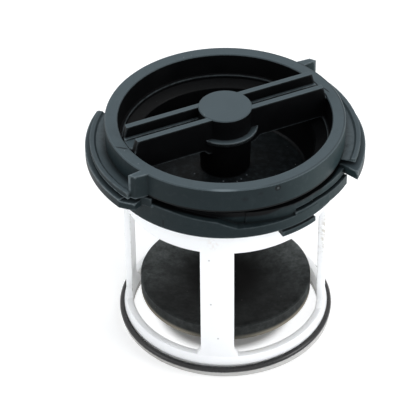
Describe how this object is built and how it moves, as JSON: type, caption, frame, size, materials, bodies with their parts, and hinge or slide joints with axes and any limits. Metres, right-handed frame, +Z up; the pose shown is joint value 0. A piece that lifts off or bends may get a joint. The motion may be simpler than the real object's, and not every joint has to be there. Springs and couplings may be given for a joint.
{
  "type": "washing machine drain pump filter",
  "caption": "Twist-in drain pump filter: black cap with a ribbed grip and bayonet flanges, white open cage with a seal ring at its foot, rubber baffle disc inside.",
  "frame": {"origin": "on the filter axis at the bottom face of the cage foot, the face it stands on", "axes": "+Z up the filter axis towards the cap, +X along the widest line over the bayonet flanges, +Y across it"},
  "size_m": [0.0756, 0.0652, 0.0707],
  "materials": {
    "cap_plastic": "satin black moulded plastic, faintly blue grey",
    "cage_plastic": "white moulded plastic",
    "seal_rubber": "smooth black rubber",
    "baffle_rubber": "black rubber, dusty"
  },
  "bodies": {
    "cage": {"filter_cage": "cage_plastic", "base_seal": "seal_rubber"},
    "cap": {"filter_cap": "cap_plastic", "baffle": "baffle_rubber"}
  },
  "joints": [
    {"name": "cap_swivel", "type": "hinge", "parent": "cage", "child": "cap", "pos_m": [0, 0, 0.054], "axis": [0, 0, 1], "continuous": true}
  ]
}
